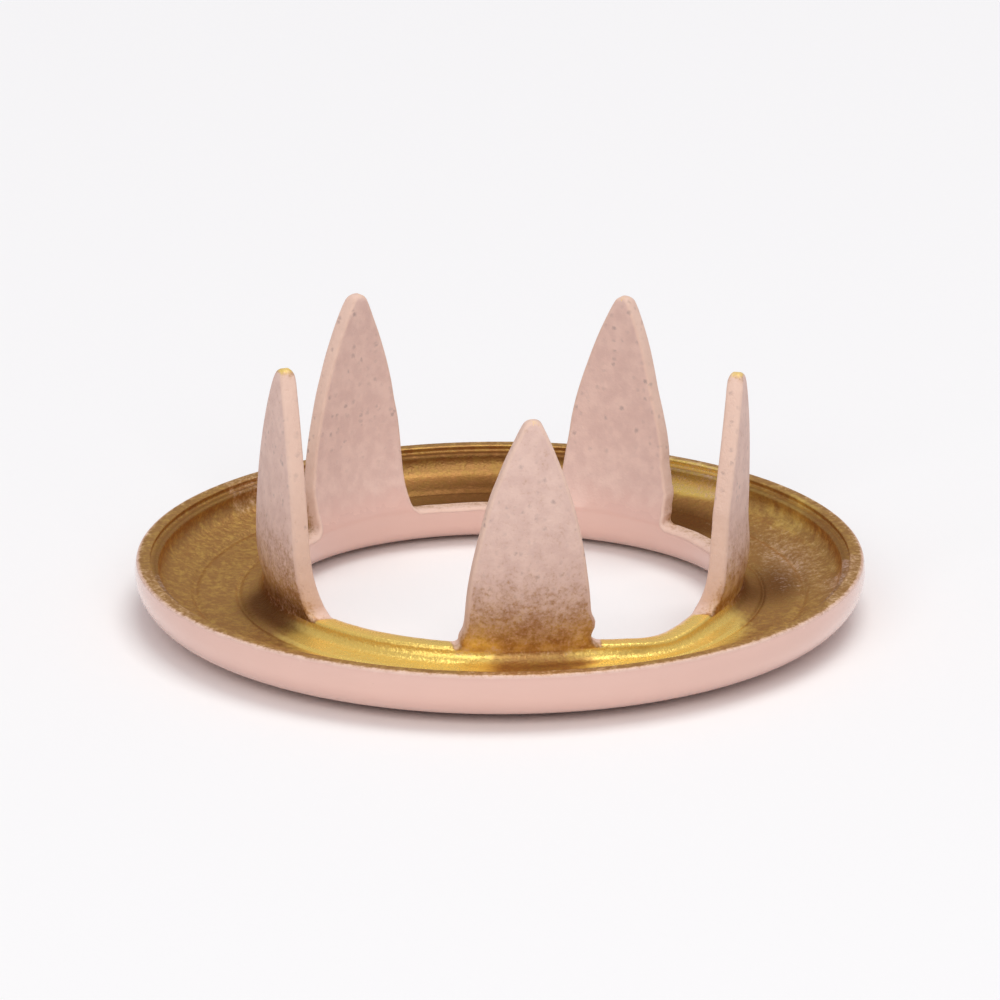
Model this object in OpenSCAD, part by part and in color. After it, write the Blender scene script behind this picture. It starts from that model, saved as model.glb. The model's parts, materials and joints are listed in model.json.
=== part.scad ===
// Open prong ring of a snap fastener, pressed from one piece of thin brass sheet.
// The ring lies on its painted face with the prongs up. The ring's axis is Z, and
// the painted crown touches Z = 0.

/* [Ring] */
// Diameter over the rim
outer_d = 9.5; // [9:0.1:10.5]
// Diameter of the hole at the straight collar
hole_d = 5.4; // [4.8:0.1:5.6]
// Thickness of the sheet in the face and the rim
sheet_t = 0.3; // [0.25:0.01:0.35]
// How far the crown circle lies inside the middle of the band
crown_in = 0.17; // [0:0.01:0.2]
// Radius of the gentle arc across the painted face
crown_r = 2.6; // [2.4:0.1:4]
// Radius of the bend from the face into the hole, on the painted side
inner_bend_r = 0.4; // [0.35:0.01:0.5]
// Radius of the bend from the face into the rim, on the painted side
outer_bend_r = 0.5; // [0.45:0.01:0.6]

/* [Rim edge] */
// Height of the rim above its widest place, where it curls back in
rim_curl_h = 0.16; // [0.1:0.01:0.2]
// Thickness left in the pinched lip at the rim's edge
lip_t = 0.17; // [0.12:0.01:0.2]
// Height of the pinched lip
lip_h = 0.08; // [0.04:0.01:0.1]

/* [Channel] */
// Radius of the fillet where the channel floor meets the collar
root_fillet_r = 0.15; // [0.1:0.01:0.25]
// Distance of the inner crease from the wall of the hole
inner_crease_in = 0.68; // [0.6:0.01:0.9]
// Distance of the outer crease from the outside of the rim
outer_crease_in = 0.78; // [0.7:0.01:0.9]
// Radius of the small groove that each crease is
crease_r = 0.045; // [0.03:0.005:0.08]

/* [Collar] */
// Thickness of the collar and of the prongs at their roots
collar_t = 0.28; // [0.22:0.01:0.32]
// Height of the straight collar between the prongs, above the bend
collar_land_h = 0.09; // [0.05:0.01:0.15]

/* [Prongs] */
// Number of prongs
prong_count = 5; // [4:1:6]
// Angle of the first prong, from the front towards +X
prong_turn = 5.5; // [0:0.5:72]
// Width of a prong at its root
prong_w = 1.64; // [1.2:0.02:1.8]
// Height of a prong above the collar
prong_h = 3.08; // [2:0.02:3.6]
// Height over which the two sides of a prong stay parallel
prong_straight_h = 0.16; // [0.12:0.01:0.6]
// Radius of the rounded tip
tip_r = 0.14; // [0.1:0.01:0.2]
// Thickness of a prong where its bow is widest
prong_tip_t = 0.22; // [0.18:0.01:0.25]
// How far a prong bows outward from the wall of the hole
bow_out = 0.29; // [0.2:0.01:0.5]
// Height of the upright foot of a prong, where its bow begins
prong_foot_h = 0.06; // [0.05:0.01:0.2]
// Height above the foot at which the bow is widest
bow_h = 1; // [0.8:0.05:1.8]
// How far a prong leans back in from its widest place to its tip
tip_in = 0.05; // [0.02:0.01:0.15]
// Radius of the corner between a prong and the collar
root_corner_r = 0.12; // [0.06:0.01:0.2]

/* [Hidden] */
$fn = 180;
big_arc_fn = 360;
enamel_pink = "#e6b8a8";

hole_r = hole_d / 2;
outer_r = outer_d / 2;
crown_x = (hole_r + outer_r) / 2 - crown_in;
crown_centre = [crown_x, crown_r];

// Height of a corner arc's centre, for a corner of radius r that is tangent to a
// crown arc of radius arc_r and has its centre at x
function corner_z(arc_r, x, r) = crown_r - sqrt(pow(arc_r - r, 2) - pow(x - crown_x, 2));

bend_top = corner_z(crown_r, hole_r + inner_bend_r, inner_bend_r);
widest_z = corner_z(crown_r, outer_r - outer_bend_r, outer_bend_r);
collar_top = bend_top + collar_land_h;
rim_top = widest_z + rim_curl_h;
channel_wall_r = hole_r + collar_t;
rim_bend_centre = [outer_r - outer_bend_r, widest_z];

// Radius of an arc that leaves the upright by the distance sag over the height rise
function bow_radius(rise, sag) = (pow(rise, 2) + pow(sag, 2)) / (2 * sag);

// A bowed face is a tight arc from the foot to the widest place, then a gentle one
// to the tip. The two gentle arcs of a prong share their centre.
foot_z = collar_top + prong_foot_h;
bow_z = foot_z + bow_h;
lean_h = prong_h - prong_foot_h - bow_h;
prong_face_r = hole_r + bow_out;
prong_back_r = prong_face_r + prong_tip_t;
inner_bow_r = bow_radius(bow_h, bow_out);
outer_bow_r = bow_radius(bow_h, prong_back_r - channel_wall_r);
inner_lean_r = bow_radius(lean_h, tip_in);
outer_lean_r = inner_lean_r + prong_tip_t;

// The sides of a prong are arcs, tangent to its parallel root and to its round tip
shoulder_z = collar_top + prong_straight_h;
tip_z = collar_top + prong_h - tip_r;
side_rise = tip_z - shoulder_z;
side_r = (pow(prong_w / 2, 2) + pow(side_rise, 2) - pow(tip_r, 2)) / (prong_w - 2 * tip_r);
side_x = side_r - prong_w / 2;
side_end_z = shoulder_z + side_rise * side_r / (side_r - tip_r);

// Depth by which cutting shapes pass the faces they cut
past = 0.1;
// Depth by which the bowed wall reaches into the collar, and past the prongs' tips
overlap = collar_land_h / 2;
// Share of its radius at which a root corner's centre stands above the collar
corner_rise = 0.9;
// Half the height over which the wall's slanting top lies inside the bowed prongs
foot_slant = prong_foot_h / 2;
// Radius that is clear of the prongs and inside the rim
clear_r = prong_face_r + collar_t + past;

// Everything above a basket-handle arc: a corner arc at each end of a crown arc.
// The left corner runs up into a straight wall, and the right one curls back in.
module arch(x1, r1, x2, r2, arc_r, top) {
  c0 = crown_centre;
  c1 = [x1 + r1, corner_z(arc_r, x1 + r1, r1)];
  c2 = [x2 - r2, corner_z(arc_r, x2 - r2, r2)];
  far = 3;
  f1 = c0 + far * (c1 - c0);
  f2 = c0 + far * (c2 - c0);
  intersection() {
    translate([x1 - past, -past]) square([x2 - x1 + 2 * past, top + past]);
    union() {
      intersection() {
        translate(c0) circle(r = arc_r, $fn = big_arc_fn);
        polygon([c0, c1, f1, f2, c2]);
      }
      intersection() {
        translate(c1) circle(r = r1);
        polygon([c1, [f1[0] - r1, c1[1]], f1]);
      }
      polygon([c1, [x1, c1[1]], [x1, c0[1]], c0]);
      intersection() {
        translate(c2) circle(r = r2);
        polygon([c2, f2, [f2[0] + r2, c0[1]], [c2[0], c0[1]]]);
      }
      polygon([c2, c0, [c2[0], c0[1]]]);
    }
  }
}

// A shallow groove across the channel floor, at distance x from the axis
module crease(x) {
  floor_z = crown_r - sqrt(pow(crown_r - sheet_t, 2) - pow(x - crown_x, 2));
  translate([x, floor_z]) circle(r = crease_r);
}

// The half section of the dished ring, up to the feet of the prongs
module ring_section() {
  difference() {
    arch(hole_r, inner_bend_r, outer_r, outer_bend_r, crown_r, rim_top);
    arch(channel_wall_r, root_fillet_r, outer_r - sheet_t, outer_bend_r - sheet_t,
         crown_r - sheet_t, rim_top + past);
    polygon([[0, foot_z - foot_slant], [hole_r, foot_z - foot_slant],
             [channel_wall_r, foot_z + foot_slant], [channel_wall_r, rim_top + past],
             [0, rim_top + past]]);
    intersection() {
      translate(rim_bend_centre) circle(r = outer_bend_r - lip_t);
      translate([rim_bend_centre[0], rim_top - lip_h]) square([outer_bend_r, lip_h + past]);
    }
    crease(hole_r + inner_crease_in);
    crease(outer_r - outer_crease_in);
  }
}

// A disc whose outermost point is the widest place of a face, at distance x
module bow_disc(x, r) {
  translate([x, bow_z]) translate([-r, 0]) circle(r = r, $fn = big_arc_fn);
}

// The half section between the two arcs of a bowed face and the wall of the hole
module inside_bow(x, bow_r, lean_r) {
  intersection() {
    bow_disc(x, bow_r);
    translate([hole_r, bow_z]) mirror([0, 1])
      square([clear_r - hole_r, bow_h + prong_foot_h + overlap]);
  }
  intersection() {
    bow_disc(x, lean_r);
    translate([hole_r, bow_z]) square([clear_r - hole_r, lean_h + overlap]);
  }
}

// The half section of the bowed wall that the prongs are left from
module prong_section() {
  difference() {
    inside_bow(prong_back_r, outer_bow_r, outer_lean_r);
    inside_bow(prong_face_r, inner_bow_r, inner_lean_r);
  }
}

// The outline of one prong, seen square on, with its root corners
module prong_outline() {
  translate([-prong_w / 2, collar_top - past])
    square([prong_w, prong_straight_h + past]);
  intersection() {
    translate([side_x, shoulder_z]) circle(r = side_r, $fn = big_arc_fn);
    translate([-side_x, shoulder_z]) circle(r = side_r, $fn = big_arc_fn);
    translate([-prong_w / 2, shoulder_z]) square([prong_w, side_end_z - shoulder_z]);
  }
  translate([0, tip_z]) circle(r = tip_r);
  for (side = [0, 1]) mirror([side, 0]) root_corner();
}

// The filled corner between a prong's side and the collar
module root_corner() {
  difference() {
    translate([prong_w / 2, collar_top - past])
      square([root_corner_r, past + corner_rise * root_corner_r]);
    translate([prong_w / 2 + root_corner_r, collar_top + corner_rise * root_corner_r])
      circle(r = root_corner_r);
  }
}

// What is sheared away above the collar, all but the prongs
module gaps() {
  difference() {
    translate([0, 0, collar_top]) cylinder(r = clear_r, h = prong_h + past);
    for (i = [0 : prong_count - 1])
      rotate([0, 0, prong_turn + i * 360 / prong_count])
        translate([0, -hole_r / 2, 0])
          rotate([90, 0, 0]) linear_extrude(height = clear_r) prong_outline();
  }
}

module prong_ring() {
  color(enamel_pink)
    difference() {
      rotate_extrude() {
        ring_section();
        prong_section();
      }
      gaps();
    }
}

prong_ring();
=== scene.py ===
# %% [markdown]
# # A pressed brass prong ring, enamelled pink
#
# The open ring of a snap fastener is one stamping. A press dishes a disc of thin brass, pierces
# it, and turns five pointed prongs up out of the middle. The face is then sprayed and baked, so
# the outside is glossy enamel, the channel behind it stays bare brass, and the prongs get only
# the dry edge of the spray.
#
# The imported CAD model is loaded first. It is the fixed frame: the outer sizes below are read from
# it, and the others repeat the driving sizes of the same part.

# %% Load the frame
import json
import math

import bpy
import numpy as np
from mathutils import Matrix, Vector


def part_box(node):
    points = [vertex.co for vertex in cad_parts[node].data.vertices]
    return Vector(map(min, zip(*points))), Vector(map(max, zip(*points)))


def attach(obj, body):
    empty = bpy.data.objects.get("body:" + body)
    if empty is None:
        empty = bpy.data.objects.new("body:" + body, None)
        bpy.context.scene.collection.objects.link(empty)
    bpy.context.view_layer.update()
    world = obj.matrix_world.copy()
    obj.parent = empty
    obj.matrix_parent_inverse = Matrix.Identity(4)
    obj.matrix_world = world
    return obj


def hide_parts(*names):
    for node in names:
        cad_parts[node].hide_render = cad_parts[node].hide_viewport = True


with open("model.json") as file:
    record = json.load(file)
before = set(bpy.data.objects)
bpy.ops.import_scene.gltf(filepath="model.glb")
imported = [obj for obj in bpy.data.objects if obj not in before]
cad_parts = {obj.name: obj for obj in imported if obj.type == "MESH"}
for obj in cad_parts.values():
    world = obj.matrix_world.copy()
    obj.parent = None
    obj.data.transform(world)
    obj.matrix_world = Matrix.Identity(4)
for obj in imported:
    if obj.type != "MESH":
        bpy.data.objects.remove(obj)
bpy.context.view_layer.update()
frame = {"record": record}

# %% [markdown]
# ## Why the ring is modelled again
#
# The CAD solid has the right shape, but its mesh has flat facets and knife edges, and a camera
# this close shows both. A subdivision surface over it would round the thin lip away. So the ring
# is built again as a fine grid from the same arcs. A grid also lets each point remember where it
# lies in the metal, which the finish needs later: enamel on one side of the sheet, brass on the
# other.
#
# Lengths are in millimetres until the mesh is made, because the drawing of the part is too.

# %% Driving sizes of the dish, in millimetres
MM = 0.001
low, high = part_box("prong_ring")
bore = next(m for m in frame["record"]["mounts"] if m["name"] == "hole")
outer_r = round(high.x / MM, 2)
total_h = round((high.z - low.z) / MM, 2)
hole_r = bore["dims"]["r_mm"]

sheet_t = 0.3
crown_in = 0.17
crown_r = 2.6
inner_bend_r = 0.4
outer_bend_r = 0.5
rim_curl_h = 0.16
lip_t = 0.17
lip_h = 0.08
root_fillet_r = 0.15
collar_t = 0.28
collar_land_h = 0.09
print("outer radius", outer_r, "hole radius", hole_r, "height", total_h)

# %% [markdown]
# ## The section of the dish
#
# Cut the ring in half and the painted face is a basket handle: a gentle arc with a tighter arc at
# each end, all tangent. The channel side follows it one sheet thickness further in. Three arcs
# placed by tangency say this exactly, where a free-hand spline would only look like it.

# %% Arcs and their centres
crown = np.array([(hole_r + outer_r) / 2 - crown_in, crown_r])


def corner_centre(face_r, x, r):
    """Centre of a corner arc of radius r at distance x from the axis, tangent to the crown arc."""
    return np.array([x, crown[1] - math.sqrt((face_r - r) ** 2 - (x - crown[0]) ** 2)])


def bearing(start, end):
    """Direction from one point to another, in degrees from 0 to 360."""
    return math.degrees(math.atan2(end[1] - start[1], end[0] - start[0])) % 360


def arc(centre, radius, start, end, steps):
    """Points along an arc between two angles in degrees, both ends included."""
    turn = np.radians(np.linspace(start, end, steps + 1))
    return np.column_stack([centre[0] + radius * np.cos(turn), centre[1] + radius * np.sin(turn)])


channel_r = crown_r - sheet_t
channel_wall_r = hole_r + collar_t
hole_bend = corner_centre(crown_r, hole_r + inner_bend_r, inner_bend_r)
rim_bend = corner_centre(crown_r, outer_r - outer_bend_r, outer_bend_r)
root_bend = corner_centre(channel_r, channel_wall_r + root_fillet_r, root_fillet_r)
collar_top = hole_bend[1] + collar_land_h
rim_top = rim_bend[1] + rim_curl_h
print("collar at", round(collar_top, 3), "rim at", round(rim_top, 3))

# %% [markdown]
# ## Edges that catch the light
#
# Every real edge has a small radius, and it is that radius that draws the bright line along the
# rim. `join` trims two runs of points back from the corner where they meet and bridges the corner
# with a short curve, so each edge gets its radius at the place where it is drawn.

# %% Joining runs of points with a small radius
CORNER_STEPS = 4
SAME_PLACE = 1e-6


def distances(path):
    """Distance of each point from the start of the path, along it."""
    return np.concatenate([[0.0], np.cumsum(np.linalg.norm(np.diff(path, axis=0), axis=1))])


def trimmed(path, length):
    """The path without its last stretch of the given length."""
    along = distances(path)
    end = along[-1] - length
    last = [np.interp(end, along, path[:, axis]) for axis in (0, 1)]
    return np.vstack([path[along < end - SAME_PLACE], last])


def join(first, second, radius):
    """Two paths that share a corner, as one path with the corner rounded."""
    corner = first[-1]
    before = trimmed(first, radius)
    after = trimmed(second[::-1], radius)[::-1]
    t = np.linspace(0, 1, CORNER_STEPS + 1)[1:-1, None]
    bridge = (1 - t) ** 2 * before[-1] + 2 * t * (1 - t) * corner + t**2 * after[0]
    return np.vstack([before, bridge, after])


# %% [markdown]
# The painted side runs from the top of the hole's wall, round the hole's bend, across the crown
# and round the rim's bend, which carries on past the upright and curls back in.

# %% The painted side
STEPS = {"hole": 9, "crown": 22, "rim": 15, "lip": 4, "inner": 8, "floor": 64, "root": 6}
edge_r = 0.05
wall_foot_h = 0.02


def climb(z, radius):
    """Angle at which a circle round the rim bend's centre reaches a height, in degrees."""
    return math.degrees(math.asin((z - rim_bend[1]) / radius))


face_start = bearing(crown, hole_bend)
face_end = bearing(crown, rim_bend)
painted_side = np.vstack([
    [[hole_r, collar_top - edge_r], [hole_r, hole_bend[1] + wall_foot_h]],
    arc(hole_bend, inner_bend_r, 180, face_start, STEPS["hole"]),
    arc(crown, crown_r, face_start, face_end, STEPS["crown"])[1:],
    arc(rim_bend, outer_bend_r, face_end, 360 + climb(rim_top, outer_bend_r), STEPS["rim"])[1:],
])
rim_start = distances(painted_side)[-1]
print("painted side, mm across the section:", round(rim_start, 2))

# %% [markdown]
# ## The rim's lip and the channel's two creases
#
# The press pinches the rim to a thin lip as it trims it, which leaves a small ledge inside the
# edge. The die also leaves two fine creases round the channel floor. Both are part of the
# section, so they are modelled: the ledge throws a dark line inside the rim, and the finish
# paints its shadow darker still.

# %% The lip and its ledge
lip_r = outer_bend_r - lip_t
inner_r = outer_bend_r - sheet_t
ledge_z = rim_top - lip_h
lip = arc(rim_bend, lip_r, climb(rim_top, lip_r), climb(ledge_z, lip_r), STEPS["lip"])
inner_bend = arc(rim_bend, inner_r, climb(ledge_z, inner_r), face_end - 360, STEPS["inner"])
rim_edge = np.array([painted_side[-1], lip[0]])
ledge = np.array([lip[-1], inner_bend[0]])
print("lip", lip_t, "thick, ledge", round(lip_r - inner_r, 2), "wide")

# %% The channel, from the ledge to the collar's bare wall
inner_crease_in = 0.68
outer_crease_in = 0.78
crease_depth = 0.03
crease_spread = 0.045
# Height of the one straight row between the root fillet and the collar's rounded edge
wall_row_h = 0.012

root_start = bearing(crown, root_bend)
channel_floor = arc(crown, channel_r, face_end, root_start, STEPS["floor"])
for crease_r in (hole_r + inner_crease_in, outer_r - outer_crease_in):
    off_crease = (channel_floor[:, 0] - crease_r) / crease_spread
    channel_floor[:, 1] -= crease_depth * np.exp(-(off_crease**2))
wall_end = collar_top - edge_r
root_rise = (root_bend[1] - wall_end + wall_row_h) / root_fillet_r
root_end = 180 + math.degrees(math.asin(root_rise))
channel = np.vstack([
    inner_bend,
    channel_floor[1:],
    arc(root_bend, root_fillet_r, root_start, root_end, STEPS["root"])[1:],
    [[channel_wall_r, wall_end]],
])
print("points along the channel:", len(channel))

# %% One path through the whole section
lip_edge_r = 0.04
ledge_edge_r = 0.04
ledge_corner_r = 0.06

profile = join(painted_side, rim_edge, lip_edge_r)
profile = join(profile, lip, lip_edge_r)
profile = join(profile, ledge, ledge_edge_r)
profile = join(profile, channel, ledge_corner_r)
print("points in the section:", len(profile))

# %% [markdown]
# ## The outline of a prong
#
# Seen square on, a prong is a lancet: parallel at its root, then two long arcs that close on a
# small round tip, with a filleted corner where it leaves the collar. The outline is needed twice,
# once for the flat faces and once, a little larger, for the sheared edge, so it is a function of
# how far it is moved into the metal. Moving an arc only changes its radius.

# %% Outline of a prong
OUTLINE_STEPS = {"corner": 6, "side": 34, "tip": 8}
prong_count = 5
prong_turn = 5.5
prong_w = 1.64
prong_straight_h = 0.16
tip_r = 0.14
root_corner_r = 0.12

prong_h = total_h - collar_top
shoulder_z = collar_top + prong_straight_h
tip_z = total_h - tip_r
side_rise = tip_z - shoulder_z
side_r = ((prong_w / 2) ** 2 + side_rise**2 - tip_r**2) / (prong_w - 2 * tip_r)
side_x = side_r - prong_w / 2
side_lean = math.degrees(math.atan2(side_rise, side_x))
foot_half = prong_w / 2 + root_corner_r


def outline(inset):
    """Half-width and height of a prong, row by row from its foot to its tip."""
    corner_middle = (foot_half, collar_top + root_corner_r)
    corner = arc(corner_middle, root_corner_r + inset, 270, 180, OUTLINE_STEPS["corner"])
    upright = np.array([[prong_w / 2 - inset, (corner[-1, 1] + shoulder_z) / 2]])
    side = arc((-side_x, shoulder_z), side_r - inset, 0, side_lean, OUTLINE_STEPS["side"])
    tip = arc((0, tip_z), tip_r - inset, side_lean, 90, OUTLINE_STEPS["tip"])
    return np.vstack([corner, upright, side, tip[1:]])


print("prong rises", round(prong_h, 2), "above the collar")

# %% [markdown]
# ## The bow of a prong
#
# From the side a prong bows outward: a tight arc lifts it off the collar, and a gentle one leads
# back in to the tip. The sheet is a little thinner there, and the tip is pinched rounder still.
# So the wall is a function of height, from one side of the sheet to the other.

# %% Wall of a prong
prong_tip_t = 0.22
bow_out = 0.29
prong_foot_h = 0.06
bow_h = 1.0
tip_in = 0.05
TIP_REACH = 0.16
TIP_PINCH = 0.07

foot_z = collar_top + prong_foot_h
bow_z = foot_z + bow_h
lean_h = prong_h - prong_foot_h - bow_h


def arc_radius(rise, sag):
    """Radius of an arc that leaves the upright by the distance sag over the height rise."""
    return (rise**2 + sag**2) / (2 * sag)


def fallen(radius, off):
    """How far an arc has left the upright at a distance from its widest place."""
    return radius - np.sqrt(radius**2 - off**2)


def bow(z, face_r, sag, lean_r):
    """Distance of a bowed face from the axis, for a tight arc below and a gentle one above."""
    below = np.clip(bow_z - z, 0, None)
    above = np.clip(z - bow_z, 0, None)
    return face_r - fallen(arc_radius(bow_h, sag), below) - fallen(lean_r, above)


def wall_radius(z, depth):
    """Distance of the wall from the axis: depth is 0 on the painted side, 1 on the bare side."""
    rise = np.clip(z - collar_top, 0, None)
    eased = foot_z + np.sqrt(rise**2 + prong_foot_h**2) - prong_foot_h
    face_r = hole_r + bow_out
    back_r = face_r + prong_tip_t
    lean_r = arc_radius(lean_h, tip_in)
    painted = bow(eased, face_r, bow_out, lean_r)
    bare = bow(eased, back_r, bow_out + prong_tip_t - collar_t, lean_r + prong_tip_t)
    near_tip = np.clip((z - total_h + TIP_REACH) / TIP_REACH, 0, 1)
    pinch = TIP_PINCH * (1 - np.sqrt(1 - near_tip**2))
    return painted + depth * (bare - painted) + pinch * (1 - 2 * depth)


print("widest at radius", hole_r + bow_out + prong_tip_t, "and height", round(bow_z, 2))

# %% [markdown]
# ## What the press leaves behind
#
# No two prongs of a real ring agree. They stand a little taller or shorter, lean, turn a few
# degrees out of their place and come out narrower, and the sheared edges carry burrs and nicks.
# These are small named amounts per prong. The hole isn't round either: the press pushed its wall
# out at both sides, and bent the collar out and down right of the front prong. `formed` moves
# every point near the hole by that much.

# %% Small faults of the prongs
# For each prong from the front one anticlockwise: turn from its place in degrees, height and
# width against the drawing, lean to the side and spread outward at the tip in millimetres,
# and how much paint is worn off its tip
PRONG_FAULTS = [
    {"turn": 1.5, "height": 1.012, "width": 0.99, "lean": 0.05, "spread": 0.00, "worn": 0.3},
    {"turn": 1.4, "height": 0.960, "width": 0.99, "lean": 0.00, "spread": 0.07, "worn": 0.8},
    {"turn": -0.7, "height": 0.962, "width": 0.95, "lean": -0.08, "spread": -0.02, "worn": 0.2},
    {"turn": -1.2, "height": 1.003, "width": 0.95, "lean": -0.03, "spread": -0.11, "worn": 0.2},
    {"turn": -4.4, "height": 1.028, "width": 1.00, "lean": 0.11, "spread": -0.08, "worn": 0.9},
]
# Prong, side, height above the collar, reach along the edge, and how far it stands out, or goes
# in where that is below zero. Side 1 is the one further anticlockwise.
BURRS = [
    (0, 1, 0.30, 0.10, 0.055),
    (0, -1, 0.10, 0.12, 0.050),
    (2, -1, 1.75, 0.60, -0.060),
    (2, -1, 0.78, 0.12, -0.028),
    (2, -1, 0.38, 0.09, 0.045),
    (2, -1, 0.14, 0.12, 0.040),
    (3, -1, 0.30, 0.40, -0.045),
    (3, 1, 0.55, 0.10, 0.020),
    (1, -1, 1.30, 0.12, 0.018),
]
print("burrs and nicks:", len(BURRS))

# %% The hole, pushed out of round
SIDE_PUSH = 0.14
SKEW_PUSH = 0.05
DENT_AT = 43
DENT_REACH = 15
DENT_OUT = 0.13
DENT_DOWN = 0.10


def smooth(value):
    """0 below 0, 1 above 1, and a smooth rise between."""
    value = np.clip(value, 0, 1)
    return value * value * (3 - 2 * value)


def formed(points, grip):
    """Points as the press left them: grip is 1 at the wall of the hole and 0 away from it."""
    x, y, z = np.moveaxis(points, -1, 0)
    radius = np.hypot(x, y)
    sideways = x / radius
    heading = np.degrees(np.arctan2(x, -y))
    dent = np.exp(-(((heading - DENT_AT) / DENT_REACH) ** 2))
    push = grip * (sideways**2 * (SIDE_PUSH + SKEW_PUSH * sideways) + DENT_OUT * dent)
    down = grip * DENT_DOWN * dent * np.clip(z / collar_top, 0, 1)
    return np.stack([x * (1 + push / radius), y * (1 + push / radius), z - down], -1)


print("pushed out by", round(SIDE_PUSH - SKEW_PUSH, 2), "at the left and",
      round(SIDE_PUSH + SKEW_PUSH, 2), "at the right")

# %% [markdown]
# A sheared edge is never quite straight. Two slow waves of a few thousandths of a millimetre run
# along it, from a seeded generator, so that they come out the same each time. The burrs are
# added on top of them.

# %% Sheared edges that wander
SEED = 9
# How many rows or columns lie between the random values, and their size in millimetres
SHORT_WAVE = (3, 0.002)
LONG_WAVE = (8, 0.004)
COLLAR_WAVE = (4, 0.004)
# Half-width below which the waves fade out, so that they leave the tip alone
TIP_FADE = 0.3
random = np.random.default_rng(SEED)


def wander(count, grain, size):
    """A smooth seeded wave: random values at every grain-th place, blended between."""
    knots = random.normal(0, size, count // grain + 3)
    place = np.arange(count) / grain
    left = place.astype(int)
    share = smooth(place - left)
    return knots[left] * (1 - share) + knots[left + 1] * share


base_rows = outline(edge_r)
row_count = len(base_rows)
tip_fade = np.clip(base_rows[:, 0] / TIP_FADE, 0, 1)
edge_shift = np.zeros((prong_count, 2, row_count))
for k in range(prong_count):
    for side in (0, 1):
        wave = wander(row_count, *SHORT_WAVE) + wander(row_count, *LONG_WAVE)
        edge_shift[k, side] = tip_fade * wave
for k, side, height, reach, size in BURRS:
    hump = np.exp(-(((base_rows[:, 1] - collar_top - height) / reach) ** 2))
    edge_shift[k, (side + 1) // 2] -= size * hump
edge_shift[:, :, 0] = 0
print("an edge moves by up to", round(float(np.abs(edge_shift).max()), 3))

# %% [markdown]
# ## Columns that run between the prongs
#
# The grid needs the same columns all round, yet the sides of a prong are parallel cuts, not
# spokes. So inside a prong a column keeps its distance from the prong's middle line, and between
# two prongs the columns share out what is left. Both depend only on how far from the axis the
# point lies, which keeps the two sides of the sheet in step.

# %% Column angles and the shared grid
PRONG_COLUMNS = 36
GAP_COLUMNS = 36
SPAN_COLUMNS = PRONG_COLUMNS + GAP_COLUMNS
columns = prong_count * SPAN_COLUMNS
pitch = 360 / prong_count
turns = prong_turn + pitch * np.arange(prong_count) + [fault["turn"] for fault in PRONG_FAULTS]
widths = np.array([fault["width"] for fault in PRONG_FAULTS])
across = np.linspace(-1, 1, PRONG_COLUMNS + 1)
gap_shift = np.array([wander(GAP_COLUMNS + 1, *COLLAR_WAVE) for _ in range(prong_count)])
gap_shift *= np.sin(np.linspace(0, math.pi, GAP_COLUMNS + 1)) ** 0.5


def column_angles(radius):
    """Angles of all columns, in degrees from the front, at one distance from the axis."""
    inside = turns[:, None] + np.degrees(np.arcsin(across * foot_half * widths[:, None] / radius))
    following = np.roll(inside[:, 0], -1)
    following[-1] += 360
    between = np.linspace(inside[:, -1], following, GAP_COLUMNS + 1, axis=1)[:, 1:-1]
    return np.hstack([inside, between]).ravel()


print("prongs stand at", [round(float(turn), 1) for turn in turns], "degrees")

# %% Placing a point of the dish or of a prong


def spin(radius, angle, z):
    """Points at an angle in degrees that starts at the front and turns towards +X."""
    turn = np.radians(angle)
    return np.stack(np.broadcast_arrays(radius * np.sin(turn), -radius * np.cos(turn), z), -1)


def place(k, x, z, radius):
    """A point of prong k, from its distance across, its height and its distance from the axis."""
    fault = PRONG_FAULTS[k]
    rise = np.clip((z - collar_top) / prong_h, 0, None)
    height = z + (fault["height"] - 1) * prong_h * rise
    x = x * fault["width"] + fault["lean"] * rise**2
    out = np.sqrt((radius + fault["spread"] * rise) ** 2 - x**2)
    turn = math.radians(turns[k])
    points = np.stack([out * math.sin(turn) + x * math.cos(turn),
                       -out * math.cos(turn) + x * math.sin(turn), height], -1)
    return formed(points, 1 - smooth(z - collar_top))


# %% [markdown]
# ## Building the grid
#
# The mesh has three kinds of patch: the dish, which is the section swept round all columns; two
# faces for each prong; and the sheared edge, one ribbon that runs round the whole crown, up and
# down every prong. The patches share their border points, so the sheet is closed everywhere and
# shades without a seam.
#
# Each point carries five notes for the finish. `coat` is how much spray reached it, `lift` its
# share of a prong's height, `tarnish` how much painted shade and grease lies there, `edge` marks a
# sheared edge, and `rub` how much painted highlight it gets, where paint is rubbed off and where
# bare brass would mirror a lamp.

# %% Points that remember where they lie
sheet_points = []
notes = {"coat": [], "lift": [], "tarnish": [], "edge": [], "rub": []}
faces = []


def add_points(points, coat, lift, tarnish, edge, rub=0.0):
    """Adds points with what the finish needs to know of them, and returns their numbers."""
    points = np.asarray(points)
    shape = points.shape[:-1]
    start = sum(len(p) for p in sheet_points)
    sheet_points.append(points.reshape(-1, 3))
    values = {"coat": coat, "lift": lift, "tarnish": tarnish, "edge": edge, "rub": rub}
    for name, value in values.items():
        notes[name].append(np.broadcast_to(value, shape).ravel())
    return start + np.arange(int(np.prod(shape))).reshape(shape)


def add_grid(numbers):
    """Quads between neighbouring rows and columns of a block of point numbers."""
    quads = np.stack([numbers[:-1, :-1], numbers[:-1, 1:], numbers[1:, 1:], numbers[1:, :-1]], -1)
    faces.extend(quads.reshape(-1, 4).tolist())


# %% Sweep the section round
# Distance over which the press's grip on the wall of the hole fades out into the dish
GRIP_FADE = 0.6

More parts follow.
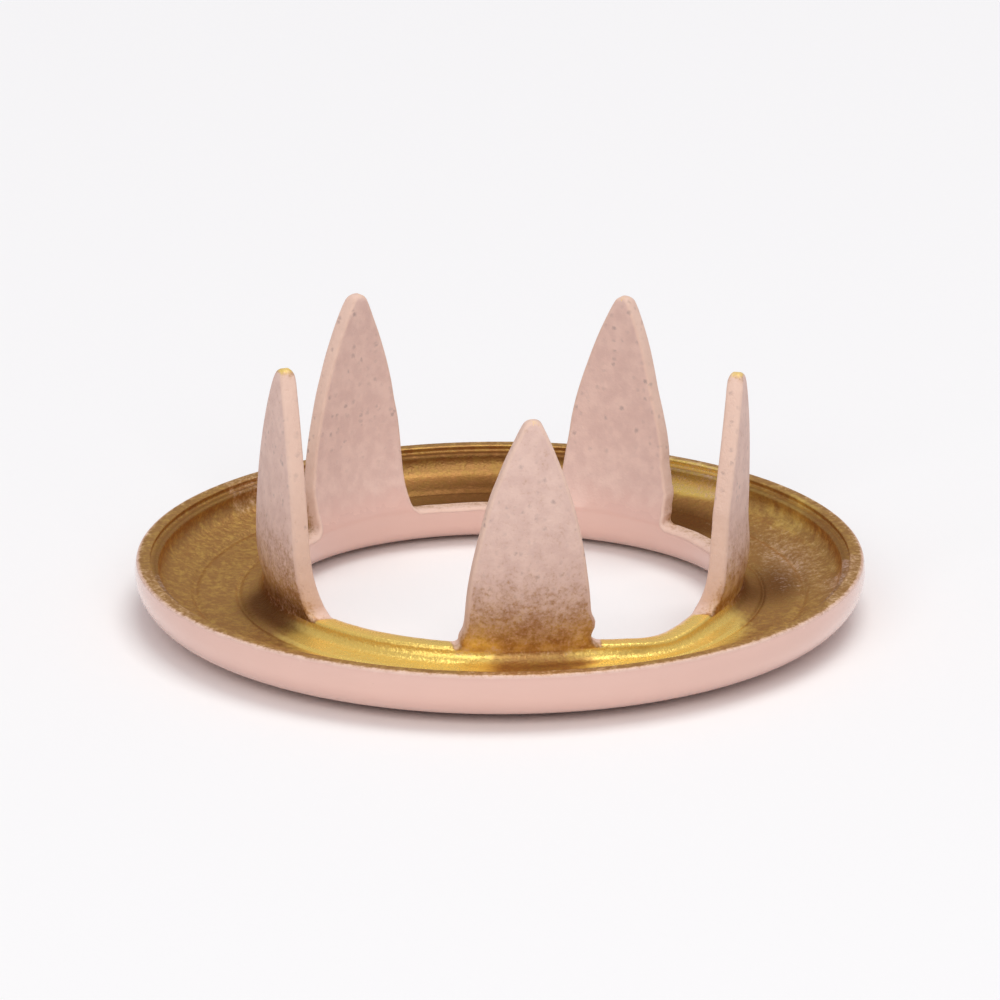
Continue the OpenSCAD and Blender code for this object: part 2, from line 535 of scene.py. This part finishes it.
rows = []
for radius, z in profile:
    grip = 1 - smooth((radius - channel_wall_r) / GRIP_FADE)
    rows.append(formed(spin(radius, column_angles(radius), z), grip))
rows = np.array(rows)
for k in range(prong_count):
    gap = (k * SPAN_COLUMNS + PRONG_COLUMNS + np.arange(GAP_COLUMNS + 1)) % columns
    rows[0, gap, 2] -= gap_shift[k]
    rows[-1, gap, 2] -= gap_shift[k]
where_r = np.hypot(rows[..., 0], rows[..., 1])
where_a = np.degrees(np.arctan2(rows[..., 0], -rows[..., 1]))
print("rows and columns of the dish:", rows.shape[:2])

# %% [markdown]
# ## Where the enamel ends on the rim
#
# The enamel thins out as it turns over the rim's edge, and has run out before the channel begins.
# That depends only on how far along the section a row lies, so it is a few ramps over that
# distance. A dark line is painted under the lip's ledge as its shadow.

# %% Marks along the section
# Distances from the rim's edge: back to where the enamel begins to thin, on to where the channel
# side begins, and back from there to where the enamel has run out
FILM_THINS = 0.06
CHANNEL_FROM = 0.10
FILM_GONE = 0.04
# Share of the enamel that is left on the rim's edge itself
EDGE_FILM = 0.6
# How far past the rim's edge the lip counts as an edge, and where that has faded out
LIP_FULL = 0.12
LIP_FADED = 0.20
# How far past the rim's edge the painted shadow under the lip's ledge lies, and how wide it is
UNDER_LIP = 0.30
UNDER_LIP_W = 0.06

along = distances(profile)
thins_at = rim_start - FILM_THINS
bare_start = rim_start + CHANNEL_FROM
coat_along = np.interp(along, [thins_at, rim_start, bare_start - FILM_GONE], [1, EDGE_FILM, 0])
lip_along = np.interp(along, [thins_at, rim_start, rim_start + LIP_FULL, rim_start + LIP_FADED],
                      [0, 1, 1, 0])
under_lip = np.exp(-(((along - rim_start - UNDER_LIP) / UNDER_LIP_W) ** 2))
is_channel = along > bare_start
print("rows on the channel side:", int(is_channel.sum()))

# %% [markdown]
# ## Painted shade, painted highlights, grease and stray spray
#
# The channel isn't one even colour. Dark brown is painted where the channel lies in shade and
# mirrors dark, mostly at the back and beside the prongs, with some baked-on drawing grease among
# it. Bright yellow is painted as highlights along the collar's foot at the front, but not at the
# front prong's own foot, and in a few places at the back. A haze of spray blew in at the right.
# Each is a soft oval on the ring, given by where it lies, how far it reaches and how strong it is.
# Noise in the finish breaks up its border later.

# %% Soft ovals on the channel
# The first list is mostly painted shade: dark brown where the channel lies in shade and mirrors the
# prongs' dark sides, beside their roots and at the back, and one thin line between two painted
# highlight stripes. Some of it is drawing grease.
# Heading from the front and spread in degrees, radius and width in millimetres, and how much
SHADE_AND_GREASE_PATCHES = [
    (-76, 13, 3.18, 0.36, 0.75),
    (9, 9, 3.25, 0.40, 0.30),
    (-60, 8, 3.20, 0.20, 0.3),
    (32, 22, 3.14, 0.05, 0.35),
    (84, 10, 3.20, 0.25, 0.4),
    (94, 16, 3.62, 0.40, 0.75),
    (138, 15, 3.70, 0.42, 0.8),
    (176, 34, 3.45, 0.55, 0.8),
    (176, 34, 4.15, 0.35, 0.6),
    (-140, 20, 3.50, 0.40, 0.4),
]
# Painted highlights: bright yellow where the brass would mirror the lamps, along the collar's foot
# at the front, in two stripes right of the front prong, and on the outer wall at the back right.
HIGHLIGHT_PATCHES = [
    (-14, 16, 3.10, 0.40, 1.2),
    (-42, 18, 3.15, 0.36, 1.2),
    (30, 22, 3.00, 0.10, 1.2),
    (32, 22, 3.30, 0.16, 1.2),
    (54, 15, 3.15, 0.45, 1.6),
    (120, 14, 4.50, 0.30, 0.5),
    (147, 10, 4.45, 0.18, 1.2),
]
STRAY_SPRAY = [(108, 26, 3.95, 0.60, 0.34)]


def patch(heading, spread, radius, width):
    """1 at a place on the ring, fading out over a spread in degrees and a width in millimetres."""
    turn_off = (where_a - heading + 180) % 360 - 180
    return np.exp(-((turn_off / spread) ** 2) - ((where_r - radius) / width) ** 2)


def laid(ground, places):
    """The ground with all places of a list laid over it."""
    for heading, spread, radius, width, depth in places:
        ground = ground + depth * patch(heading, spread, radius, width)
    return ground


print("patches:", len(SHADE_AND_GREASE_PATCHES) + len(HIGHLIGHT_PATCHES) + len(STRAY_SPRAY))

# %% Notes for the channel
# Painted shade all round the collar's foot, where the channel meets the wall, less of it along the
# front, and a painted shadow under the lip's ledge
ALL_ROUND = 1e3
COLLAR_FOOT = (0, ALL_ROUND, channel_wall_r + 0.1, 0.22)
FRONT_LESS_SHADE = (5, 70, 3.1, 0.6)
FOOT_SHADE = 0.35
LIP_SHADE = 0.55
# The front prong's foot, where the painted highlight along the front is left out
FOOT_WITHOUT_HIGHLIGHT = (turns[0] + 2, 12, 3.2, 1.0)
FOOT_HIGHLIGHT_CUT = 0.92

on_channel = is_channel[:, None]
foot_line = patch(*COLLAR_FOOT) * (1 - patch(*FRONT_LESS_SHADE))
tarnish = laid(FOOT_SHADE * foot_line + LIP_SHADE * under_lip[:, None], SHADE_AND_GREASE_PATCHES)
tarnish = on_channel * np.clip(tarnish, 0, 1)
rub = laid(np.zeros_like(where_r), HIGHLIGHT_PATCHES) * (1 - FOOT_HIGHLIGHT_CUT * patch(*FOOT_WITHOUT_HIGHLIGHT))
rub = on_channel * np.clip(rub, 0, 1)
print("greasy points:", int((tarnish > 0.5).sum()), "rubbed points:", int((rub > 0.5).sum()))

# %% The dish
# How much dry spray lies at the foot of a prong's channel side, how far below the collar's top it
# begins, and over what height it comes in
SPRAY_DUST = 0.30
DUST_DROP = 0.20
DUST_RISE = 0.15

on_prong = np.arange(columns) % SPAN_COLUMNS <= PRONG_COLUMNS
dust_along = SPRAY_DUST * smooth((profile[:, 1] - collar_top + DUST_DROP) / DUST_RISE)
coat = coat_along[:, None] + on_channel * dust_along[:, None] * on_prong
coat = coat + on_channel * laid(0.0, STRAY_SPRAY)
dish = add_points(rows, coat, 0.0, tarnish, lip_along[:, None], rub)
add_grid(np.hstack([dish, dish[:, :1]]))
print("dish:", dish.shape)

# %% [markdown]
# ## The faces of the prongs
#
# A face takes its rows from the outline. The first row is the collar's own edge, which the dish
# already has, and the last row closes on a single point at the tip. The side towards the hole is
# painted all over. On the other side the spray starts as dust at the foot and gets denser with
# height, and the foot gets a little painted shade, most on the left prong, and a little painted
# highlight.

# %% What lies on a face
# How much spray lies further up, from which share of the height, and how it gets there
SPRAY_FULL = 0.82
SPRAY_END = 0.40
SPRAY_CURVE = 0.9
# Painted shade at the foot, and how much more of it the left prong has, then the painted highlight
# at the foot
ROOT_SHADE = 0.1
LEFT_ROOT_SHADE = 0.6
ROOT_SHADE_REACH = 0.11
ROOT_HIGHLIGHT = 0.38
ROOT_HIGHLIGHT_REACH = 0.3

heights = (base_rows[:, 1] - collar_top) / prong_h


def fading(lift, reach):
    """1 at a prong's foot, fading out over a share of its height."""
    return np.exp(-((lift / reach) ** 2))


def laid_on_face(k, depth, lift):
    """Coat, painted shade and painted highlight on one face of prong k, at a share of its height.
    """
    if depth == 0:
        return 1.0, 0.0, 0.0
    gain = np.clip(lift / SPRAY_END, 0, 1) ** SPRAY_CURVE
    root_shade = ROOT_SHADE + LEFT_ROOT_SHADE * (k == prong_count - 1)
    coat = SPRAY_DUST + (SPRAY_FULL - SPRAY_DUST) * gain
    return coat, root_shade * fading(lift, ROOT_SHADE_REACH), ROOT_HIGHLIGHT * fading(lift, ROOT_HIGHLIGHT_REACH)


print("spray on a prong, at its foot and above:", SPRAY_DUST, SPRAY_FULL)

# %% Both faces of every prong
# How much enamel the sheared edges and the tips have before they are worn
EDGE_COAT = 0.9


def face_of_prong(k, depth):
    """One face of a prong, as a block of point numbers that starts with the dish's own row."""
    first = k * SPAN_COLUMNS
    border = dish[0 if depth == 0 else -1, first:first + PRONG_COLUMNS + 1]
    half = base_rows[1:-1, 0]
    left = -half + edge_shift[k, 0, 1:-1]
    right = half - edge_shift[k, 1, 1:-1]
    x = left[:, None] + (right - left)[:, None] * (across + 1) / 2
    z = np.broadcast_to(base_rows[1:-1, 1][:, None], x.shape)
    lift = heights[1:-1][:, None]
    coat, tarnish, rub = laid_on_face(k, depth, lift)
    body = add_points(place(k, x, z, wall_radius(z, depth)), coat, lift, tarnish, 0.0, rub)
    block = np.vstack([border, body])
    add_grid(block)

    tip = base_rows[-1, 1]
    tip_point = place(k, np.array(0.0), np.array(tip), wall_radius(tip, depth))
    tip_coat = EDGE_COAT - PRONG_FAULTS[k]["worn"]
    # The apex gets the full painted highlight, a glint at the tip.
    apex = add_points(tip_point[None], tip_coat, 1.0, 0.0, 1.0, 1.0)
    fan = [[block[-1, i], block[-1, i + 1], apex[0]] for i in range(PRONG_COLUMNS)]
    faces.extend(fan)
    return np.vstack([block, np.repeat(apex, PRONG_COLUMNS + 1)[None]])


prong_faces = [[face_of_prong(k, 0), face_of_prong(k, 1)] for k in range(prong_count)]
print("rows in a prong:", row_count)

# %% [markdown]
# ## The sheared edge
#
# The edge is a ribbon across the thickness of the sheet, with a small round at either side. It
# starts at one prong's foot, climbs to the tip, comes down and crosses the gap to the next prong.
# Where it ends it meets its own beginning. Paint is thin on it, and is worn off at the tips and
# rubbed off along the collar, most of all in the two gaps at the front. Where the brass shows
# there it gets the painted highlight colour, for glints at the tips and a bright line along the
# front of the collar.

# %% Rows across the edge
ROUND_POINTS = 4

round_share = edge_r / collar_t
quarter = np.radians(np.linspace(0, 90, ROUND_POINTS))
ribbon_depth = np.concatenate([
    round_share * (1 - np.cos(quarter)), [0.5], 1 - round_share * (1 - np.cos(quarter[::-1])),
])
ribbon_inset = edge_r * np.concatenate([1 - np.sin(quarter), [0.0], 1 - np.sin(quarter[::-1])])
inner_depth = ribbon_depth[1:-1]
inner_inset = ribbon_inset[1:-1]
inner_rows = np.array([outline(inset) for inset in inner_inset])
print("points across the edge:", len(ribbon_depth))

# %% The edge of a prong
# Share of the height above which the tip is worn, how much thinner the coat is on the foot's
# channel side, and over which share of the height
WORN_FROM = 0.955
FOOT_THIN = 0.5
FOOT_THIN_REACH = 0.12


def edge_of_prong(k):
    """The ribbon up one side of prong k, over its tip and down the other side."""
    painted, bare = prong_faces[k]
    walk = [(0, row) for row in range(row_count)]
    walk += [(1, row) for row in range(row_count - 2, -1, -1)]
    strip = []
    for side, row in walk:
        column = side * PRONG_COLUMNS
        x = (2 * side - 1) * (inner_rows[:, row, 0] - edge_shift[k, side, row])
        z = inner_rows[:, row, 1]
        lift = heights[row]
        worn = smooth((lift - WORN_FROM) / (1 - WORN_FROM))
        coat = EDGE_COAT - PRONG_FAULTS[k]["worn"] * worn
        coat = coat - FOOT_THIN * inner_depth * fading(lift, FOOT_THIN_REACH)
        points = place(k, x, z, wall_radius(z, inner_depth))
        # The worn share also sets the painted highlight, a glint where the tip is bare.
        made = add_points(points, coat, lift, 0.0, 1.0, worn)
        strip.append(np.concatenate([[painted[row, column]], made, [bare[row, column]]]))
    return strip


# %% The edge of the collar, and the whole ribbon
# How much is rubbed off the collar in the two gaps at the front and in the others, which is also
# how much painted highlight the edge gets there, and the share of the thickness over which the
# rubbing comes in from the painted side
FRONT_RUB_AND_HIGHLIGHT = 0.9
BACK_RUB_AND_HIGHLIGHT = 0.3
RUB_DEPTH = 0.4


def edge_of_gap(k):
    """The ribbon along the collar, from prong k to the next one."""
    rubbed_and_lit = FRONT_RUB_AND_HIGHLIGHT if k in (0, prong_count - 1) else BACK_RUB_AND_HIGHLIGHT
    coat = EDGE_COAT - rubbed_and_lit * np.clip(inner_depth / RUB_DEPTH, 0, 1)
    strip = []
    for step in range(1, GAP_COLUMNS):
        column = k * SPAN_COLUMNS + PRONG_COLUMNS + step
        z = collar_top - inner_inset - gap_shift[k, step]
        radius = wall_radius(z, inner_depth)
        angle = np.array([column_angles(r)[column] for r in radius])
        points = formed(spin(radius, angle, z), 1.0)
        made = add_points(points, coat, 0.0, 0.0, 1.0, rubbed_and_lit)
        strip.append(np.concatenate([[dish[0, column]], made, [dish[-1, column]]]))
    return strip


ribbon = []
for k in range(prong_count):
    ribbon += edge_of_prong(k)
    ribbon += edge_of_gap(k)
ribbon.append(ribbon[0])
add_grid(np.array(ribbon))
print("faces:", len(faces))

# %% [markdown]
# ## From numbers to a mesh
#
# The points go into a mesh in metres. What the finish needs is stored as attributes on the
# points. They go with the mesh wherever it goes, and need no picture.

# %% Make the ring
mesh = bpy.data.meshes.new("stamped_ring")
mesh.from_pydata((np.vstack(sheet_points) * MM).tolist(), [], faces)
for name, parts in notes.items():
    layer = mesh.attributes.new(name, "FLOAT", "POINT")
    layer.data.foreach_set("value", np.concatenate(parts).astype(np.float32))
mesh.validate()
mesh.shade_smooth()
ring = bpy.data.objects.new("stamped_ring", mesh)
bpy.context.scene.collection.objects.link(ring)

bpy.context.view_layer.objects.active = ring
ring.select_set(True)
bpy.ops.object.mode_set(mode="EDIT")
bpy.ops.mesh.select_all(action="SELECT")
bpy.ops.mesh.normals_make_consistent(inside=False)
bpy.ops.object.mode_set(mode="OBJECT")

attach(ring, "root")
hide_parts("prong_ring")
triangles = sum(len(p.vertices) - 2 for p in mesh.polygons)
print("points", len(mesh.vertices), "triangles", triangles)

# %% [markdown]
# ## Writing a finish as sums
#
# A node tree is arithmetic, and reads best when it is written as arithmetic. `Wire` stands for
# one output socket and knows plus, minus, times and power, so `1 - coat` adds a Math node.
# `Finish` holds the tree, and its one method `node` adds any other node: settings first, then
# sockets. Colours never pass through a Math node, which would turn them grey.


# %% Wires
class Wire:
    """An output socket that can be used in sums of numbers."""

    def __init__(self, finish, socket):
        self.finish = finish
        self.socket = socket

    def maths(self, operation, first, second):
        """The result of a Math node."""
        return self.finish.node("ShaderNodeMath", {"operation": operation}, {0: first, 1: second})

    def beside(self, output):
        """Another output of the same node."""
        return Wire(self.finish, self.socket.node.outputs[output])

    def __add__(self, other):
        return self.maths("ADD", self, other)

    def __radd__(self, other):
        return self.maths("ADD", other, self)

    def __sub__(self, other):
        return self.maths("SUBTRACT", self, other)

    def __rsub__(self, other):
        return self.maths("SUBTRACT", other, self)

    def __mul__(self, other):
        return self.maths("MULTIPLY", self, other)

    def __rmul__(self, other):
        return self.maths("MULTIPLY", other, self)

    def __pow__(self, other):
        return self.maths("POWER", self, other)


# %% Finishes
class Finish:
    """A material under construction."""

    def __init__(self, name):
        self.material = bpy.data.materials.new(name)
        self.material.use_nodes = True
        self.tree = self.material.node_tree
        self.tree.nodes.clear()

    def node(self, kind, settings=None, sockets=None, output=0):
        """Adds a node, and returns one of its outputs."""
        made = self.tree.nodes.new(kind)
        for name, value in (settings or {}).items():
            setattr(made, name, value)
        for name, value in (sockets or {}).items():
            if isinstance(value, Wire):
                self.tree.links.new(value.socket, made.inputs[name])
            else:
                made.inputs[name].default_value = value
        return Wire(self, made.outputs[output]) if made.outputs else None

    def note(self, name):
        """What the mesh remembers under this name."""
        return self.node("ShaderNodeAttribute", {"attribute_name": name}, output="Fac")

    def ramp(self, value, start, end):
        """0 below start, 1 above end, and a smooth rise between."""
        return self.node("ShaderNodeMapRange", {"interpolation_type": "SMOOTHSTEP"},
                         {"Value": value, "From Min": start, "From Max": end})

    def mix(self, share, first, second):
        """A colour that goes from first to second."""
        return self.node("ShaderNodeMix", {"data_type": "RGBA"}, {0: share, 6: first, 7: second},
                         output=2)

    def grain(self, place, per_mm, detail=3.0, rough=0.5):
        """Cloudy noise with about this many patches to the millimetre."""
        return self.node("ShaderNodeTexNoise", None,
                         {"Vector": place, "Scale": per_mm, "Detail": detail, "Roughness": rough})

    def surface(self, sockets):
        """Ends the tree in a Principled shader with these sockets."""
        shader = self.node("ShaderNodeBsdfPrincipled", None, sockets)
        self.node("ShaderNodeOutputMaterial", None, {"Surface": shader})
        return self.material


def swing(noise, size):
    """Noise as a swing about zero, which moves a border to and fro without shifting it."""
    return (noise - 0.5) * size


def paint(red, green, blue):
    """A colour as a paint chart gives it, from 0 to 255, as the shader wants it."""
    chart = np.array([red, green, blue]) / 255
    linear = np.where(chart <= 0.04045, chart / 12.92, ((chart + 0.055) / 1.055) ** 2.4)
    return (*linear.tolist(), 1.0)


# %% [markdown]
# ## Enamel over brass
#
# One material covers the whole stamping, because the enamel thins out over the metal and never
# ends on a line. `coat` says how much spray reached a point. Noise is added to it before it is
# cut off, so the border between paint and metal breaks into specks, as it does where spray
# lands dry. The mask then mixes colour, metalness, roughness and clear coat.

# %% Grain, and where the enamel covers the brass
FINE_PER_MM = 14.0
MEDIUM_PER_MM = 5.0
BROAD_PER_MM = 1.3
DUST_PER_MM = 30.0

metal = Finish("enamelled_brass")
home = metal.node("ShaderNodeTexCoord", output="Object")
place_mm = metal.node("ShaderNodeVectorMath", {"operation": "SCALE"}, {0: home, "Scale": 1 / MM})
coat = metal.note("coat")
lift = metal.note("lift")
# The next two notes carry painted light: painted shade with some grease, and painted highlight.
tarnish = metal.note("tarnish")
edge = metal.note("edge")
rub = metal.note("rub")

fine = metal.grain(place_mm, FINE_PER_MM, 3.0, 0.6)
medium = metal.grain(place_mm, MEDIUM_PER_MM, 3.0, 0.55)
broad = metal.grain(place_mm, BROAD_PER_MM, 2.0, 0.5)
dust = metal.grain(place_mm, DUST_PER_MM, 2.0, 0.6)

broken_coat = coat + swing(fine, 0.6) + swing(dust, 0.6) + swing(medium, 0.3)
covered = metal.ramp(broken_coat, 0.2, 0.8)
print("notes on the mesh:", list(notes))

# %% [markdown]
# The enamel is a glossy salmon pink on the face. Up the prongs it is only overspray: matt, a
# little greyer, and peppered with fine dark specks. On the sheared edges it is thin and paler.
# The specks are the middles of scattered cells, and only some of the cells get one.

# %% Colours of the enamel
EDGE_PALE = 0.6
SPECKS_PER_MM = 10.0
SPECK_SHARE = 0.45

matt = metal.ramp(lift + edge * 0.2 + swing(medium, 0.12), 0.0, 0.16)
gloss_pink = metal.mix(broad, paint(228, 187, 174), paint(234, 193, 180))
matt_pink = metal.mix(metal.ramp(medium, 0.3, 0.7), paint(223, 190, 179), paint(235, 203, 190))
pink = metal.mix(matt, gloss_pink, matt_pink)
pink = metal.mix(edge * matt * EDGE_PALE, pink, paint(238, 204, 184))

cells = metal.node("ShaderNodeTexVoronoi", None, {"Vector": place_mm, "Scale": SPECKS_PER_MM})
lot = metal.node("ShaderNodeSeparateColor", None, {0: cells.beside("Color")})
chosen = metal.ramp(lot, 0.3, 1.0)
middle = 1 - metal.ramp(cells + swing(dust, 0.6), 0.05, 0.5)
speck = middle * chosen * metal.ramp(medium, 0.4, 0.6)
pepper = metal.ramp(lift + swing(medium, 0.2), 0.15, 0.4) * speck * SPECK_SHARE
pink = metal.mix(pepper, pink, paint(116, 100, 106))
print("nodes up to the enamel:", len(metal.tree.nodes))

# %% [markdown]
# Bare brass isn't one colour either. The channel is a khaki bronze. Brown is painted as shade at
# the prongs' roots, under the lip and where the channel lies in shade, with some drawing grease
# among it, and a bright yellow is painted as highlights along the collar's foot at the front and
# where the metal would mirror a lamp. The rolled surface is left with a grain like orange peel,
# whose peaks are brighter than its pits. Only a trace of streaks runs round the ring.

# %% Colours and grain of the brass
# Streaks that follow one another round the ring, to the radian, and that lie side by side
STREAKS_PER_RADIAN = 3.0
STREAKS_PER_MM = 14
PEAK_SHARE = 0.4
SHADE_AND_GREASE_SHARE = 0.85

out_x = metal.node("ShaderNodeSeparateXYZ", None, {0: place_mm}, output="X")
out_y = out_x.beside("Y")
from_axis = (out_x * out_x + out_y * out_y) ** 0.5
flat = metal.node("ShaderNodeCombineXYZ", None, {0: out_x, 1: out_y})
outward = metal.node("ShaderNodeVectorMath", {"operation": "NORMALIZE"}, {0: flat})
rings = metal.node("ShaderNodeCombineXYZ", None, {2: from_axis * STREAKS_PER_MM})
drawn = metal.node("ShaderNodeVectorMath", {"operation": "MULTIPLY_ADD"},
                   {0: outward, 1: (STREAKS_PER_RADIAN,) * 3, 2: rings})
streak = metal.grain(drawn, 1.0, 3.0, 0.6)

highlight_brass = paint(250, 216, 116)
khaki = paint(182, 136, 82)
shade_and_grease_brown = paint(98, 50, 18)
peaks = metal.ramp(fine * 0.5 + dust * 0.2 + medium * 0.3, 0.42, 0.66)
# Painted highlight: bright yellow brass where the highlight note says, broken up by noise and
# streaks
painted_highlight = metal.ramp(rub + swing(medium, 0.6) + swing(streak, 0.5), 0.2, 0.75)
# Painted shade, with some grease: brown where the shade note says
shade_and_grease_mask = metal.ramp(tarnish + swing(fine, 0.5) + swing(medium, 0.3), 0.1, 0.9)
brass = metal.mix(peaks * PEAK_SHARE, khaki, highlight_brass)
brass = metal.mix(painted_highlight, brass, highlight_brass)
brass = metal.mix(shade_and_grease_mask * SHADE_AND_GREASE_SHARE, brass, shade_and_grease_brown)
print("nodes up to the brass:", len(metal.tree.nodes))

# %% [markdown]
# Relief is kept at its real size: a hundredth of a millimetre of orange peel in the brass, less
# in the dry spray, and next to nothing in the baked gloss. The mask itself is added as a step,
# because enamel stands proud of the metal that it ends on.
#
# The brass between the specks of dry spray is dull, and mirrors less of the room than clean
# brass does, so it counts as less of a metal. Where a highlight is painted the brass counts as
# less of a metal too, so that the painted yellow shows as its own colour.

# %% Relief and the finished surface
RELIEF_MM = 0.02
# Share of a prong's height by which the brass has gone dull
DULL_FROM = 0.06

bare = 1 - covered
orange_peel = fine * 0.45 + dust * 0.3 + medium * 0.2
dry_grain = fine * 0.4 + dust * 0.3
relief = bare * orange_peel + covered * 0.1
relief = relief + covered * matt * dry_grain + covered * broad * 0.05
bump = metal.node("ShaderNodeBump", None,
                  {"Strength": 1.0, "Distance": RELIEF_MM * MM, "Height": relief})
dull = metal.ramp(lift, 0.0, DULL_FROM)
brass_rough = 0.38 + fine * 0.16 + shade_and_grease_mask * 0.12 - painted_highlight * 0.19
enamel_rough = 0.2 + matt * 0.42
enamelled_brass = metal.surface({
    "Base Color": metal.mix(covered, brass, pink),
    "Metallic": bare * (0.85 - painted_highlight * 0.3 - dull * 0.45),
    "Roughness": bare * brass_rough + covered * enamel_rough,
    "Specular Tint": (1.0, 0.82, 0.6, 1.0),
    "Coat Weight": covered * (1 - matt) * 0.6,
    "Coat Roughness": 0.08,
    "Normal": bump,
})
mesh.materials.append(enamelled_brass)
print("nodes in the finish:", len(metal.tree.nodes))

# %% [markdown]
# ## A plain white table
#
# The ring lies on its painted face on white card. The card is one large sheet that fills the
# whole view, so it is floor and background at once, and keeps the soft shadow under the rim.

# %% Floor
FLOOR_HALF = 0.4
card = bpy.data.meshes.new("white_card")
card.from_pydata([(x * FLOOR_HALF, y * FLOOR_HALF, 0) for x, y in
                  ((-1, -1), (1, -1), (1, 1), (-1, 1))], [], [(0, 1, 2, 3)])
floor = bpy.data.objects.new("white_card", card)
bpy.context.scene.collection.objects.link(floor)
card_stock = Finish("card_stock")
card.materials.append(card_stock.surface({
    "Base Color": (0.98, 0.985, 0.98, 1.0),
    "Roughness": 0.75,
    "Specular IOR Level": 0.2,
}))
print("card, m wide:", 2 * FLOOR_HALF)

# %% [markdown]
# ## Light from a tent
#
# Small bright metal is photographed in a tent: a broad soft light in front and above, a second
# one overhead, and a dim room behind them. The room matters as much as the lights, because brass
# has no colour but what it mirrors. The lamps are a trace warm and the room a trace violet, which
# leaves the card close to neutral.

# %% Lights and room
LAMP_COLOUR = (1.0, 0.995, 0.965)
ROOM_COLOUR = (0.95, 0.92, 1.0, 1.0)
ROOM_STRENGTH = 0.44
LIT_POINT = Vector((0, 0, 0.001))


def soft_light(name, place, size, power):
    """A soft light of the given width and height that looks at the ring."""
    lamp = bpy.data.lights.new(name, "AREA")
    lamp.shape = "RECTANGLE"
    lamp.size, lamp.size_y = size
    lamp.energy = power
    lamp.color = LAMP_COLOUR
    made = bpy.data.objects.new(name, lamp)
    bpy.context.scene.collection.objects.link(made)
    made.location = place
    made.rotation_euler = (Vector(place) - LIT_POINT).to_track_quat("Z", "Y").to_euler()


soft_light("top_light", place=(0.05, 0.02, 0.32), size=(0.20, 0.20), power=0.44)
soft_light("front_light", place=(-0.03, -0.24, 0.18), size=(0.38, 0.16), power=0.38)

room = bpy.data.worlds.new("room")
room.use_nodes = True
room_light = room.node_tree.nodes["Background"]
room_light.inputs["Color"].default_value = ROOM_COLOUR
room_light.inputs["Strength"].default_value = ROOM_STRENGTH
bpy.context.scene.world = room
print("lights:", len(bpy.data.lights))

# %% [markdown]
# ## The view
#
# The ring is seen from a little above, at about nineteen degrees, through a long lens from a
# quarter of a metre, which keeps the far side nearly as large as the near one.

# %% Camera
ELEVATION = 18.7
DISTANCE = 0.25
SENSOR = 36.0
VIEW_WIDTH = 13.0 * MM
AIM_HEIGHT = 1.55 * MM
NEAREST = 0.01

aim = np.array([0.0, 0.0, AIM_HEIGHT])
tilt = math.radians(ELEVATION)
lens = bpy.data.cameras.new("long_lens")
lens.sensor_width = SENSOR
lens.lens = SENSOR * DISTANCE / VIEW_WIDTH
lens.clip_start = NEAREST
camera = bpy.data.objects.new("camera", lens)
bpy.context.scene.collection.objects.link(camera)
camera.location = aim + DISTANCE * np.array([0, -math.cos(tilt), math.sin(tilt)])
camera.rotation_euler = (math.pi / 2 - tilt, 0, 0)
bpy.context.scene.camera = camera
bpy.context.scene.view_settings.view_transform = "Standard"
print("lens, mm:", round(lens.lens))
